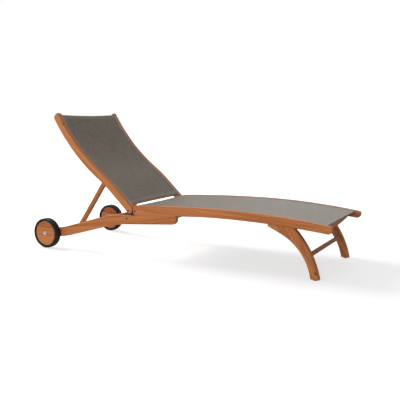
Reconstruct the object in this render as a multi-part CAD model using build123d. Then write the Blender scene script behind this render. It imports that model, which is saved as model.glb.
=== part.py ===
from build123d import *
import os
from math import asin, copysign, cos, degrees, radians, sin, tan

# Reclining sun lounger of oiled hardwood with two slings of woven mesh.
# X runs from the head end to the foot end, Y across, Z up from the floor, all in millimetres.
# The back is drawn at the recline that it is photographed at. "Right" is the side at -Y.

# Side frames
frame_half_width = 311.0
rail_thickness = 30.0
edge_round = 4.0

# Seat rails: the top edge is two tangent arcs that meet at the crown
crown_x = 359.0
crown_z = 336.2
seat_rear_x = -235.0
seat_foot_x = 991.0
seat_top_rear_radius = 8800.0
seat_top_foot_radius = 4450.0
seat_depth = 50.8
seat_under_rear_radius = 3500.0
seat_under_foot_radius = 5600.0
seam_slope = 3.34
seam_fill = 9.0
rear_top_round = 17.0
rear_under_round = 22.0
foot_top_round = 14.0
foot_under_round = 22.0

# Wheel arms: S-curved boards that lie under the rear of the seat rails
axle_x = -894.0
wheel_radius = 97.0
arm_axle_depth = 56.0
arm_heel_top_x = -814.5
arm_heel_top_z = 129.2
arm_heel_under_x = -787.0
arm_heel_under_z = 72.7
arm_heel_radius = 640.0
arm_knee_top_x = -419.5
arm_knee_under_x = -365.0
arm_knee_under_z = 191.6
arm_knee_radius = 900.0
arm_bend_spread = 64.0
arm_front_x = 67.0
arm_front_depth = 48.8
arm_nose_round = 30.0

# Front legs
leg_thickness = 35.0
foot_rear_x = 883.0
foot_width = 45.5
leg_rear_slope = 81.0
leg_rear_radius = 305.0
leg_rear_turn = 55.8
leg_tip_x = 638.5
leg_front_slope = 78.5
leg_front_radius = 519.4
leg_front_turn = 36.0
glide_height = 5.0
glide_radius = 12.0
glide_rim_round = 2.0
glide_stem_radius = 4.0
glide_stem_length = 18.0

# Round stretchers between the legs and between the arms
stretcher_radius = 12.25
leg_stretcher_x = 865.0
leg_stretcher_z = 126.0
tenon_radius = 9.0
tenon_length = 18.0

# Cross bars of the seat
cross_bar_width = 24.0
cross_bar_depth = 36.0
foot_bar_inset = 87.0
foot_bar_end_z = 272.0
foot_bar_bow = 19.0
middle_rail_x = 52.0
middle_rail_z = 281.0
middle_rail_depth = 40.0
bar_edge_round = 3.0
dowel_radius = 4.0
dowel_length = 40.0
dowel_spacing = 14.0
foot_dowel_rise = 1.0
foot_dowel_spacing = 10.0
middle_dowel_rise = 6.0
arm_dowel_places = (-120.0, 20.0)
leg_dowel_places = (700.0, 750.0)

# Backrest: rails of constant width along a straight run and two arcs
hinge_x = -270.0
hinge_z = 285.0
back_thickness = 29.0
back_width = 44.7
back_slope = 43.08
back_line_offset = 9.6
back_straight = 164.0
back_lower_radius = 900.0
back_lower_turn = 7.8
back_upper_radius = 1178.0
back_length = 800.0
back_tail = 22.0
tail_front_round = 24.0
tail_rear_round = 15.0
top_front_round = 10.0
top_rear_round = 20.0
lower_bar_station = 54.0
lower_bar_setback = 5.0
top_bar_station = 740.0
top_bar_setback = 11.0
top_bar_bow = 22.0

# Hinge plates, their bolts and nuts
plate_thickness = 4.0
plate_hinge_round = 15.0
plate_bolt_round = 12.0
seat_bolt_x = -222.0
seat_bolt_z = 284.0
arm_bolt_x = -282.0
arm_bolt_z = 235.0
bolt_radius = 4.0
bolt_head_radius = 6.0
bolt_head_height = 5.0
bolt_recess = 1.5
socket_radius = 2.5
socket_depth = 3.0
counterbore_radius = 6.6
nut_width = 13.0
nut_height = 6.5
hinge_washer_radius = 11.0
bush_radius = 6.0

# Support frame that props the back on the racks
pivot_station = 260.0
pivot_setback = 8.0
strut_width = 28.0
strut_length = 370.0
strut_slope = 55.2
strut_thickness = 21.0
strut_edge_round = 3.0
spacer_thickness = 3.0
spacer_radius = 8.0
pivot_radius = 4.0
pivot_head_radius = 7.0
pivot_head_height = 4.0
pivot_thread_radius = 3.0
pivot_thread_length = 18.0
foot_bar_radius = 11.0
strut_tenon_length = 15.0

# Racks on the inner faces of the arms, cut to the path of the support frame's feet
fold_ratio = 1.6
rack_thickness = 23.0
rack_rear_recline = -23.0
rack_front_recline = 21.0
notch_reclines = (-20.0, -10.0, 0.0, 10.0, 19.0)
notch_depth = 6.0
notch_radius = 15.0
rack_rear_depth = 26.0
rack_front_depth = 12.0
rack_screw_head_radius = 4.5
rack_screw_radius = 2.5
rack_screw_length = 38.0
rack_screw_drop = 10.0

# Sail tracks and slings
track_bead_radius = 3.5
track_wall = 1.7
track_drop = 6.2
track_flange = 2.2
track_height = 19.0
track_slot = 2.6
seat_track_rear_gap = 3.0
seat_track_foot_gap = 24.0
back_track_start = 15.0
back_track_end_gap = 7.0
back_sling_top_gap = 1.0
sling_end_gap = 9.0
sling_thickness = 1.2
seat_screw_count = 5
back_screw_count = 4
track_screw_inset = 8.0
track_screw_head_radius = 3.6
track_screw_head_height = 2.2
track_screw_radius = 1.75
track_screw_length = 16.0

# Wheels and their bolts
wheel_gap = 15.5
hub_width = 36.0
tyre_width = 47.0
tyre_shoulder_round = 9.0
tyre_bead_round = 4.0
tread_groove_width = 3.0
tread_groove_depth = 2.0
tread_groove_spacing = 11.0
disc_radius = 80.0
disc_inset = 1.5
rim_groove_width = 14.0
rim_groove_depth = 6.0
disc_edge_round = 1.5
hub_bush_radius = 9.0
wheel_bolt_radius = 5.0
wheel_bolt_embed = 60.0
wheel_spacer_radius = 11.0
hub_washer_radius = 12.5
hub_washer_thickness = 2.0
cap_nut_width = 17.0
cap_nut_height = 7.0
cap_nut_dome_radius = 7.0

# Clearances
running_clearance = 0.05
face_clearance = 0.3
foot_clearance = 1.5

rail_inner = frame_half_width - rail_thickness
back_inner = frame_half_width - back_thickness
strut_outer = back_inner - spacer_thickness - face_clearance
strut_inner = strut_outer - strut_thickness
keder_radius = track_bead_radius - sling_thickness
track_tube = track_bead_radius + track_wall
foot_bar_x = seat_foot_x - foot_bar_inset


# Lines of straight runs and tangent arcs, drawn in X and Z
def toward(heading):
    return Vector(cos(radians(heading)), sin(radians(heading)))


def left_of(heading):
    return toward(heading + 90)


def run_edges(start, heading, steps, side=0.0):
    """Edges of a line that goes on from start, moved to the left of its travel by side.

    A step is its length along the unmoved line and the angle it turns by, positive to the left.
    """
    edges = []
    point = start + left_of(heading) * side
    for length, turn in steps:
        if turn == 0:
            edges.append(Line(point, point + toward(heading) * length))
        else:
            radius = length / radians(abs(turn)) - copysign(side, turn)
            edges.append(JernArc(point, toward(heading), radius, turn))
        point = edges[-1] @ 1
        heading += turn
    return edges


def walk(start, heading, steps, distance):
    """Point and heading at a distance along such a line."""
    point = start
    for length, turn in steps:
        part = min(distance, length)
        share = turn * part / length
        if turn == 0:
            point = point + toward(heading) * part
        else:
            radius = length / radians(turn)
            point = point + left_of(heading) * radius - left_of(heading + share) * radius
        heading += share
        distance -= part
    return point + toward(heading) * distance, heading


def stretch(steps, begin, finish):
    """The steps of such a line between two distances along it."""
    kept = []
    passed = 0.0
    for length, turn in steps:
        low = max(begin - passed, 0.0)
        high = min(finish - passed, length)
        if high > low:
            kept.append((high - low, turn * (high - low) / length))
        passed += length
    return kept


def outline(*curves):
    return make_face([edge for curve in curves for edge in curve.edges()])


def band(start, heading, steps, near_side, far_side):
    """Strip between two lines that run side by side."""
    near = run_edges(start, heading, steps, near_side)
    far = run_edges(start, heading, steps, far_side)
    ends = [Line(near[0] @ 0, far[0] @ 0), Line(near[-1] @ 1, far[-1] @ 1)]
    return outline(*near, *far, *ends)


# Solids of the right-hand side
def board(face, outer, inner):
    return extrude(Plane.XZ.offset(inner) * face, outer - inner)


def soften(solid, radius):
    """Round the long edges of a board."""
    sides = solid.faces().filter_by(Axis.Y).sort_by(Axis.Y)
    return fillet(sides[0].edges() + sides[-1].edges(), radius)


def peg(x, z, radius, outer, inner):
    """Round bar across the lounger, between two distances from its middle."""
    return board(Pos(x, z) * Circle(radius), outer, inner)


def both_sides(solid):
    return Compound(children=[solid, mirror(solid, about=Plane.XZ)])


def corner(face, x, z):
    return face.vertices().sort_by_distance((x, z, 0))[0]


nodes = {}


def pair(name, solid):
    nodes[name + "_right"] = solid
    nodes[name + "_left"] = mirror(solid, about=Plane.XZ)


def group(name, solids):
    nodes[name] = Compound(children=list(solids))


# Bolts of the hinge region
def counterbored(solid, x, z, inner, bore):
    floor = frame_half_width - bolt_recess - bolt_head_height
    solid -= peg(x, z, counterbore_radius, frame_half_width, floor)
    return solid - peg(x, z, bore, floor, inner)


def plate_bolt(x, z, lift=0.0):
    """Socket-head bolt from the outer face through the hinge plate and its nut."""
    top = frame_half_width - bolt_recess + lift
    seat = top - bolt_head_height
    tip = rail_inner - plate_thickness - nut_height
    head = peg(x, z, bolt_head_radius, top, seat)
    key = Pos(x, z) * RegularPolygon(socket_radius, 6)
    return head - board(key, top, top - socket_depth) + peg(x, z, bolt_radius, seat, tip)


def plate_nut(x, z):
    seat = rail_inner - plate_thickness
    hexagon = Pos(x, z) * RegularPolygon(nut_width / 2, 6, major_radius=False)
    return board(hexagon - Pos(x, z) * Circle(bolt_radius), seat, seat - nut_height)


# Seat rails
seat_rear_angle = degrees(asin((crown_x - seat_rear_x) / seat_top_rear_radius))
seat_foot_angle = degrees(asin((seat_foot_x - crown_x) / seat_top_foot_radius))
seat_steps = [
    (seat_top_rear_radius * radians(seat_rear_angle), -seat_rear_angle),
    (seat_top_foot_radius * radians(seat_foot_angle), -seat_foot_angle),
]
seat_length = sum(length for length, turn in seat_steps)
seat_start = Vector(seat_rear_x, crown_z - seat_top_rear_radius * (1 - cos(radians(seat_rear_angle))))
under_crown = Vector(crown_x, crown_z - seat_depth)
under_foot_angle = degrees(asin((seat_foot_x - crown_x) / seat_under_foot_radius))


def sag(radius, reach):
    """How far an arc falls away from its tangent at a distance along it."""
    return radius - (radius**2 - reach**2) ** 0.5


def seat_under(x):
    """Height of the seat rail's lower edge: an arc each side of the crown and the straight seam behind."""
    if x > crown_x:
        return under_crown.Y - sag(seat_under_foot_radius, x - crown_x)
    reach = min(crown_x - x, seat_under_rear_radius * sin(radians(seam_slope)))
    seam_fall = (crown_x - x - reach) * tan(radians(seam_slope))
    return under_crown.Y - sag(seat_under_rear_radius, reach) - seam_fall


def seat_rail():
    top = run_edges(seat_start, seat_rear_angle, seat_steps)
    foot_arc = JernArc(under_crown, (1, 0), seat_under_foot_radius, -under_foot_angle)
    rear_arc = JernArc(under_crown, (-1, 0), seat_under_rear_radius, seam_slope)
    rear_corner = Vector(seat_rear_x, seat_under(seat_rear_x))
    seam = Line(rear_arc @ 1, rear_corner)
    ends = [Line(rear_corner, top[0] @ 0), Line(foot_arc @ 1, top[-1] @ 1)]
    face = outline(*top, foot_arc, rear_arc, seam, *ends)
    face = fillet(corner(face, seat_rear_x, seat_start.Y), rear_top_round)
    face = fillet(corner(face, rear_corner.X, rear_corner.Y), rear_under_round)
    face = fillet(corner(face, (top[-1] @ 1).X, (top[-1] @ 1).Y), foot_top_round)
    face = fillet(corner(face, (foot_arc @ 1).X, (foot_arc @ 1).Y), foot_under_round)
    return soften(board(face, frame_half_width, rail_inner), edge_round)


def seam_strip(rise):
    """Fills the rounded edges where the seat rail and the wheel arm meet, up or down from the seam."""
    rear = seat_rear_x + rear_under_round + edge_round
    front = arm_front_x - 2 * edge_round
    low = [Vector(x, seat_under(x)) for x in (rear, front)]
    high = [point + Vector(0, rise) for point in low]
    strip = outline(Polyline(low[0], low[1], high[1], high[0], close=True))
    return board(strip, frame_half_width, rail_inner)


# Wheel arms
def wheel_arm():
    rear_top = Vector(axle_x, wheel_radius + arm_axle_depth / 2)
    rear_under = Vector(axle_x, wheel_radius - arm_axle_depth / 2)
    rear_tip = Vector(axle_x - arm_axle_depth / 2, wheel_radius)
    front_top = Vector(arm_front_x, seat_under(arm_front_x))
    front_under = front_top - Vector(0, arm_front_depth)
    heel_top = Vector(arm_heel_top_x, arm_heel_top_z)
    heel_under = Vector(arm_heel_under_x, arm_heel_under_z)
    knee_top = Vector(arm_knee_top_x, seat_under(arm_knee_top_x))
    knee_under = Vector(arm_knee_under_x, arm_knee_under_z)
    half = arm_bend_spread / 2
    top_bends = [arm_heel_radius - half, arm_knee_radius + half]
    under_bends = [arm_heel_radius + half, arm_knee_radius - half]
    top = FilletPolyline(rear_top, heel_top, knee_top, front_top, radius=top_bends)
    under = FilletPolyline(rear_under, heel_under, knee_under, front_under, radius=under_bends)
    rear = ThreePointArc(rear_top, rear_tip, rear_under)
    face = outline(top, under, rear, Line(front_top, front_under))
    face = fillet(corner(face, front_under.X, front_under.Y), arm_nose_round)
    face = fillet(corner(face, front_top.X, front_top.Y), edge_round)
    return soften(board(face, frame_half_width, rail_inner), edge_round)


# Front legs
def front_leg():
    rear_foot = Vector(foot_rear_x, glide_height)
    front_foot = rear_foot + Vector(foot_width, 0)
    rear_heading = 180 - leg_rear_slope
    front_heading = 180 - leg_front_slope
    rear_steps = [(leg_rear_radius * radians(leg_rear_turn), leg_rear_turn)]
    front_steps = [(leg_front_radius * radians(leg_front_turn), leg_front_turn)]
    rear = run_edges(rear_foot, rear_heading, rear_steps)[0]
    front = run_edges(front_foot, front_heading, front_steps)[0]
    bend_end = rear @ 1
    tip_rise = (bend_end.X - leg_tip_x) * tan(radians(180 - rear_heading - leg_rear_turn))
    tip = Vector(leg_tip_x, bend_end.Y + tip_rise)
    above = Vector(leg_tip_x, crown_z)
    over = Vector((front @ 1).X, crown_z)
    tip_edges = Polyline(bend_end, tip, above, over, front @ 1)
    face = outline(rear, tip_edges, front, Line(rear_foot, front_foot))
    solid = soften(board(face, frame_half_width, frame_half_width - leg_thickness), edge_round)
    rail_arc = JernArc(under_crown, (1, 0), seat_under_foot_radius, -under_foot_angle)
    crown = Vector(crown_x, crown_z)
    lid = Polyline(under_crown, crown, Vector(seat_foot_x, crown_z), rail_arc @ 1)
    rail_space = outline(rail_arc, lid)
    return solid - board(rail_space, frame_half_width, frame_half_width - leg_thickness)


def foot_glide():
    x = foot_rear_x + foot_width / 2
    y = leg_thickness / 2 - frame_half_width
    pad = Pos(x, y, 0) * Cylinder(glide_radius, glide_height, align=(Align.CENTER, Align.CENTER, Align.MIN))
    pad = fillet(pad.edges().filter_by(GeomType.CIRCLE).sort_by(Axis.Z)[0], glide_rim_round)
    stem = Cylinder(glide_stem_radius, glide_stem_length, align=(Align.CENTER, Align.CENTER, Align.MIN))
    return pad + Pos(x, y, glide_height) * stem


# Bars across the lounger
def straight_bar(x, z, heading, along, across, half_span):
    """Bar of rectangular section, turned to a heading in the side view."""
    section = Pos(x, z) * Rot(0, 0, heading) * Rectangle(along, across)
    bar = extrude(Plane.XZ.offset(-half_span) * section, 2 * half_span)
    return fillet(bar.edges().filter_by(Axis.Y), bar_edge_round)


def bowed_bar(x, z, heading, along, across, half_span, bow):
    """Bar that bows to the left of its heading between its two ends."""
    start = Vector(x, z) - toward(heading) * (along / 2)
    direction = toward(heading)
    plane = Plane((start.X, 0, start.Y), x_dir=(0, 1, 0), z_dir=(direction.X, 0, direction.Y))
    low = -across / 2
    high = across / 2
    near = ThreePointArc((-half_span, low), (0, low + bow), (half_span, low))
    far = ThreePointArc((-half_span, high), (0, high + bow), (half_span, high))
    ends = [Line(near @ 0, far @ 0), Line(near @ 1, far @ 1)]
    bar = extrude(plane * outline(near, far, *ends), along)
    end_edges = bar.faces().filter_by(Axis.Y).edges()
    long_edges = [edge for edge in bar.edges() if not any(edge.is_same(other) for other in end_edges)]
    return fillet(long_edges, bar_edge_round)


def bar_dowels(x, z, heading, face, spacing=dowel_spacing):
    """Two dowels across the joint of a bar's right-hand end with a side board's inner face."""
    half = toward(heading) * (spacing / 2)
    places = [Vector(x, z) + half, Vector(x, z) - half]
    reach = dowel_length / 2
    return [peg(place.X, place.Y, dowel_radius, face + reach, face - reach) for place in places]


def upright_dowels(places):
    """Dowels up from the board under a right-hand seat rail into the rail."""
    middle = frame_half_width - rail_thickness / 2
    return [Pos(x, -middle, seat_under(x)) * Cylinder(dowel_radius, dowel_length) for x in places]


def turned_stretcher(x, z, face):
    """Round stretcher between two inner faces, with a tenon into each."""
    tip = face + tenon_length
    return peg(x, z, stretcher_radius, face, -face) + peg(x, z, tenon_radius, tip, -tip)


# Backrest line: from the tail below the hinge up to the top of the rail
back_heading = 180 - back_slope
back_lower_length = back_lower_radius * radians(back_lower_turn)
back_upper_length = back_length - back_straight - back_lower_length
back_steps = [
    (back_tail + back_straight, 0.0),
    (back_lower_length, back_lower_turn),
    (back_upper_length, -degrees(back_upper_length / back_upper_radius)),
]
hinge = Vector(hinge_x, hinge_z)
back_start = hinge - left_of(back_heading) * back_line_offset - toward(back_heading) * back_tail
back_front = -back_width / 2


def back_place(station, side):
    """Point and heading at a distance up from the hinge, moved to the rear of the rail's middle by side."""
    point, heading = walk(back_start, back_heading, back_steps, back_tail + station)
    return point + left_of(heading) * side, heading


def back_rail():
    face = band(back_start, back_heading, back_steps, back_front, -back_front)
    tail_front, heading = back_place(-back_tail, back_front)
    tail_rear, heading = back_place(-back_tail, -back_front)
    top_front, heading = back_place(back_length, back_front)
    top_rear, heading = back_place(back_length, -back_front)
    face = fillet(corner(face, tail_front.X, tail_front.Y), tail_front_round)
    face = fillet(corner(face, tail_rear.X, tail_rear.Y), tail_rear_round)
    face = fillet(corner(face, top_front.X, top_front.Y), top_front_round)
    face = fillet(corner(face, top_rear.X, top_rear.Y), top_rear_round)
    solid = soften(board(face, frame_half_width, back_inner), edge_round)
    return counterbored(solid, hinge_x, hinge_z, back_inner, bush_radius)


# Hinge plates
def hinge_plate():
    spots = [(hinge_x, hinge_z, plate_hinge_round), (seat_bolt_x, seat_bolt_z, plate_bolt_round)]
    spots.append((arm_bolt_x, arm_bolt_z, plate_bolt_round))
    rounds = [Pos(x, z) * Circle(radius) for x, z, radius in spots]
    face = make_hull([edge for disc in rounds for edge in disc.edges()])
    for x, z, radius in spots:
        face -= Pos(x, z) * Circle(bolt_radius)
    return board(face, rail_inner, rail_inner - plate_thickness)


# Support frame: struts that hang from the back rails, joined at their feet by a round bar
pivot, pivot_heading = back_place(pivot_station, pivot_setback)
strut_heading = 180 + strut_slope


def foot_at(recline):
    """Middle of the support frame's feet when the back is raised by an angle from its drawn place."""
    reach = pivot - hinge
    along = toward(-recline) * reach.X
    across = left_of(-recline) * reach.Y
    return hinge + along + across + toward(strut_heading + (fold_ratio - 1) * recline) * strut_length


foot = foot_at(0.0)


def strut():
    middle = (pivot + foot) * 0.5
    slot = SlotCenterToCenter(strut_length, strut_width)
    face = Pos(middle.X, middle.Y) * Rot(0, 0, strut_heading) * slot
    solid = soften(board(face, strut_outer, strut_inner), strut_edge_round)
    solid -= peg(pivot.X, pivot.Y, pivot_radius + running_clearance, strut_outer, strut_inner)
    return solid - peg(foot.X, foot.Y, tenon_radius, strut_inner + strut_tenon_length, strut_inner)


def pivot_screw():
    """Shouldered screw from the inner side of the strut into the back rail."""
    head_seat = strut_inner - face_clearance
    head = peg(pivot.X, pivot.Y, pivot_head_radius, head_seat, head_seat - pivot_head_height)
    shoulder = peg(pivot.X, pivot.Y, pivot_radius, back_inner, head_seat)
    thread = peg(pivot.X, pivot.Y, pivot_thread_radius, back_inner + pivot_thread_length, back_inner)
    return head + shoulder + thread


def support_bar():
    tip = strut_inner + strut_tenon_length
    bar = peg(foot.X, foot.Y, foot_bar_radius, strut_inner, -strut_inner)
    return bar + peg(foot.X, foot.Y, tenon_radius, tip, -tip)


# Racks
def rack_tip(recline):
    """Point of the rack's upper edge under the foot at a recline."""
    return foot_at(recline) - Vector(0, strut_width / 2 + foot_clearance)


def rack_screw_places():
    gaps = zip(notch_reclines[:-1], notch_reclines[1:])
    return [rack_tip((low + high) / 2) - Vector(0, rack_screw_drop) for low, high in gaps]


def rack_screw(place):
    inner = rail_inner - rack_thickness
    neck = inner + rack_screw_radius
    head = peg(place.X, place.Y, rack_screw_head_radius, neck, inner)
    return head + peg(place.X, place.Y, rack_screw_radius, inner + rack_screw_length, neck)


def strut_rack():
    middle = (rack_rear_recline + rack_front_recline) / 2
    rear, mid, front = [rack_tip(recline) for recline in (rack_rear_recline, middle, rack_front_recline)]
    edge = ThreePointArc(rear, mid, front)
    under = Polyline(rear, rear - Vector(0, rack_rear_depth), front - Vector(0, rack_front_depth), front)
    face = outline(edge, under)
    for recline in notch_reclines:
        dip = foot_at(recline) - Vector(0, notch_depth)
        face -= Pos(dip.X, dip.Y) * Circle(notch_radius)
    return board(face, rail_inner, rail_inner - rack_thickness)


# Sail tracks and slings
def track_plane(line, face):
    """Plane across the start of a track's line, at a side board's inner face."""
    point = line[0] @ 0
    tangent = line[0] % 0
    return Plane((point.X, -face, point.Y), x_dir=(0, 1, 0), z_dir=(tangent.X, 0, tangent.Y))


def swept(section, line, face):
    path = Wire([Plane.XZ.offset(face) * edge for edge in line])
    return sweep(track_plane(line, face) * section, path=path)


def track_section(up):
    """Slotted tube on a flange, drawn about the bead's middle. Up is 1 or -1, towards the board's edge."""
    flange_low = track_drop - track_height
    flange_middle = (track_tube + flange_low) / 2
    flange = Pos(track_flange / 2, up * flange_middle) * Rectangle(track_flange, track_tube - flange_low)
    root = Pos(track_tube / 2, 0) * Rectangle(track_tube, 2 * track_tube)
    tube = Pos(track_tube, 0) * Circle(track_tube)
    bore = Pos(track_tube, 0) * Circle(track_bead_radius)
    slot_middle = track_bead_radius - sling_thickness / 2
    slot = Pos(2 * track_tube, up * slot_middle) * Rectangle(2 * track_tube, track_slot)
    return flange + root + tube - bore - slot


def keder_section():
    return Pos(track_tube, 0) * Circle(keder_radius)


def sling_section(up, face):
    """Sheet with a sleeve round the keder rod along each side, in one piece."""
    half = face - track_tube
    high = up * track_bead_radius
    low = up * keder_radius
    neck = half - (track_bead_radius**2 - keder_radius**2) ** 0.5
    tip = half + track_bead_radius
    sleeves = [ThreePointArc((side * half, high), (side * tip, 0), (side * neck, low)) for side in (-1, 1)]
    face = outline(Line((-half, high), (half, high)), Line((-neck, low), (neck, low)), *sleeves)
    rod = Circle(keder_radius)
    return face - Pos(-half, 0) * rod - Pos(half, 0) * rod


def track_screw(place, heading, up, face):
    drop = (track_drop + track_tube + track_height) / 2
    low = place - left_of(heading) * (up * drop)
    seat = face - track_flange
    head = peg(low.X, low.Y, track_screw_head_radius, seat, seat - track_screw_head_height)
    return head + peg(low.X, low.Y, track_screw_radius, seat + track_screw_length, seat)


def spread(first, last, count):
    return [first + (last - first) * index / (count - 1) for index in range(count)]


# Wheels
wheel_inner = frame_half_width + wheel_gap
wheel_outer = wheel_inner + hub_width
wheel_middle = (wheel_inner + wheel_outer) / 2
disc_half = hub_width / 2 - disc_inset
bush_half = hub_width / 2 - face_clearance


def spun(face):
    """Turn a profile, drawn as distance along the axle and radius, round the right-hand axle."""
    centre = (axle_x, -wheel_middle, wheel_radius)
    plane = Plane(centre, x_dir=(0, 1, 0), z_dir=(1, 0, 0))
    return revolve(plane * face, Axis(centre, (0, 1, 0)), 360)


def wheel_disc():
    middle = (hub_bush_radius + disc_radius) / 2
    web = Pos(0, middle) * Rectangle(2 * disc_half, disc_radius - hub_bush_radius)
    web = fillet(web.vertices().group_by(Axis.Y)[-1], disc_edge_round)
    groove = Pos(0, disc_radius - rim_groove_depth / 2) * Rectangle(rim_groove_width, rim_groove_depth)
    return spun(web - groove)


def tyre():
    rubber = Pos(0, (disc_radius + wheel_radius) / 2) * Rectangle(tyre_width, wheel_radius - disc_radius)
    rubber = fillet(rubber.vertices().group_by(Axis.Y)[0], tyre_bead_round)
    rubber = fillet(rubber.vertices().group_by(Axis.Y)[-1], tyre_shoulder_round)
    rib = Pos(0, disc_radius - rim_groove_depth / 2) * Rectangle(rim_groove_width, rim_groove_depth)
    groove = Rectangle(tread_groove_width, 2 * tread_groove_depth)
    grooves = [Pos(side * tread_groove_spacing / 2, wheel_radius) * groove for side in (-1, 1)]
    return spun(rubber + rib - grooves[0] - grooves[1])


def hub_bush():
    wall = hub_bush_radius - wheel_bolt_radius - running_clearance
    return spun(Pos(0, hub_bush_radius - wall / 2) * Rectangle(2 * bush_half, wall))


washer_seat = wheel_outer + face_clearance
nut_seat = washer_seat + hub_washer_thickness


def axle_ring(radius, outer, inner):
    ring = Circle(radius) - Circle(wheel_bolt_radius)
    return board(Pos(axle_x, wheel_radius) * ring, outer, inner)


def wheel_bolt():
    tip = nut_seat + cap_nut_height
    return peg(axle_x, wheel_radius, wheel_bolt_radius, tip, rail_inner - wheel_bolt_embed)


def cap_nut():
    top = nut_seat + cap_nut_height
    hexagon = Pos(axle_x, wheel_radius) * RegularPolygon(cap_nut_width / 2, 6, major_radius=False)
    body = board(hexagon, top, nut_seat)
    dome = Pos(axle_x, -top, wheel_radius) * Sphere(cap_nut_dome_radius)
    return body + dome - peg(axle_x, wheel_radius, wheel_bolt_radius, top, nut_seat)


# Assembly: bars and their dowels
foot_bar_size = (cross_bar_width, cross_bar_depth, rail_inner, foot_bar_bow)
foot_bar = bowed_bar(foot_bar_x, foot_bar_end_z, 180, *foot_bar_size)
middle_rail = straight_bar(middle_rail_x, middle_rail_z, 90, middle_rail_depth, cross_bar_width, rail_inner)
foot_dowel_z = foot_bar_end_z + foot_dowel_rise
foot_dowels = bar_dowels(foot_bar_x, foot_dowel_z, 90, rail_inner, foot_dowel_spacing)
middle_dowels = bar_dowels(middle_rail_x, middle_rail_z + middle_dowel_rise, 90, rail_inner)
arm_dowels = upright_dowels(arm_dowel_places)
leg_dowels = upright_dowels(leg_dowel_places)
lower_place, lower_heading = back_place(lower_bar_station, lower_bar_setback)
top_place, top_heading = back_place(top_bar_station, top_bar_setback)
back_bar_size = (cross_bar_depth, cross_bar_width, back_inner)
lower_bar = straight_bar(lower_place.X, lower_place.Y, lower_heading, *back_bar_size)
top_bar = bowed_bar(top_place.X, top_place.Y, top_heading, *back_bar_size, top_bar_bow)
lower_dowels = bar_dowels(lower_place.X, lower_place.Y, lower_heading, back_inner)
top_dowels = bar_dowels(top_place.X, top_place.Y, top_heading, back_inner)

# Assembly: tracks, slings and their screws
seat_bead = -track_drop
back_bead = back_front + track_drop
seat_track_steps = stretch(seat_steps, seat_track_rear_gap, seat_length - seat_track_foot_gap)
seat_track_start, seat_track_heading = walk(seat_start, seat_rear_angle, seat_steps, seat_track_rear_gap)
seat_sling_finish = seat_length - seat_track_foot_gap - sling_end_gap
seat_sling_steps = stretch(seat_steps, seat_track_rear_gap, seat_sling_finish)
seat_track_line = run_edges(seat_track_start, seat_track_heading, seat_track_steps, seat_bead)
seat_sling_line = run_edges(seat_track_start, seat_track_heading, seat_sling_steps, seat_bead)
back_track_finish = back_length - back_track_end_gap
back_track_steps = stretch(back_steps, back_tail + back_track_start, back_tail + back_track_finish)
back_track_begin, back_track_heading = back_place(back_track_start, 0.0)
back_sling_begin, back_sling_heading = back_place(back_track_start + sling_end_gap, 0.0)
back_sling_low = back_tail + back_track_start + sling_end_gap
back_sling_steps = stretch(back_steps, back_sling_low, back_tail + back_track_finish - back_sling_top_gap)
back_track_line = run_edges(back_track_begin, back_track_heading, back_track_steps, back_bead)
back_sling_line = run_edges(back_sling_begin, back_sling_heading, back_sling_steps, back_bead)
seat_track = swept(track_section(1), seat_track_line, rail_inner)
back_track = swept(track_section(-1), back_track_line, back_inner)
seat_keder = swept(keder_section(), seat_sling_line, rail_inner)
back_keder = swept(keder_section(), back_sling_line, back_inner)
seat_first_screw = seat_track_rear_gap + track_screw_inset
seat_last_screw = seat_length - seat_track_foot_gap - track_screw_inset
seat_screw_stations = spread(seat_first_screw, seat_last_screw, seat_screw_count)
back_first_screw = back_track_start + track_screw_inset
back_last_screw = back_track_finish - track_screw_inset
back_screw_stations = spread(back_first_screw, back_last_screw, back_screw_count)
seat_screws = []
for station in seat_screw_stations:
    place, heading = walk(seat_start, seat_rear_angle, seat_steps, station)
    seat_screws.append(track_screw(place, heading, 1, rail_inner))
back_screws = []
for station in back_screw_stations:
    place, heading = back_place(station, back_front)
    back_screws.append(track_screw(place, heading, -1, back_inner))

# Assembly: holes in the boards
seat = counterbored(seat_rail() + seam_strip(seam_fill), seat_bolt_x, seat_bolt_z, rail_inner, bolt_radius)
arm = counterbored(wheel_arm() + seam_strip(-seam_fill), arm_bolt_x, arm_bolt_z, rail_inner, bolt_radius)
back = back_rail()
leg = front_leg()
glide = foot_glide()
rack = strut_rack()
rack_screws = [rack_screw(place) for place in rack_screw_places()]
foot_bar -= both_sides(seat_track)
lower_bar -= both_sides(back_track)
for pin in foot_dowels:
    seat -= pin
    foot_bar -= both_sides(pin)
for pin in arm_dowels:
    seat -= pin
    arm -= pin
for pin in leg_dowels:
    seat -= pin
    leg -= pin
for pin in middle_dowels:
    seat -= pin
    middle_rail -= both_sides(pin)
for pin in lower_dowels:
    back -= pin
    lower_bar -= both_sides(pin)
for pin in top_dowels:
    back -= pin
    top_bar -= both_sides(pin)
for screw in seat_screws:
    seat -= screw
    seat_track -= screw
for screw in back_screws:
    back -= screw
    back_track -= screw
for screw in rack_screws:
    rack -= screw
    arm -= screw
leg_face = frame_half_width - leg_thickness
leg -= peg(leg_stretcher_x, leg_stretcher_z, tenon_radius, leg_face + tenon_length, leg_face)
leg -= glide
arm -= peg(axle_x, wheel_radius, wheel_bolt_radius, frame_half_width, rail_inner)
back -= pivot_screw()
axle_bar = peg(axle_x, wheel_radius, stretcher_radius, rail_inner, -rail_inner) - both_sides(wheel_bolt())

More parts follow.
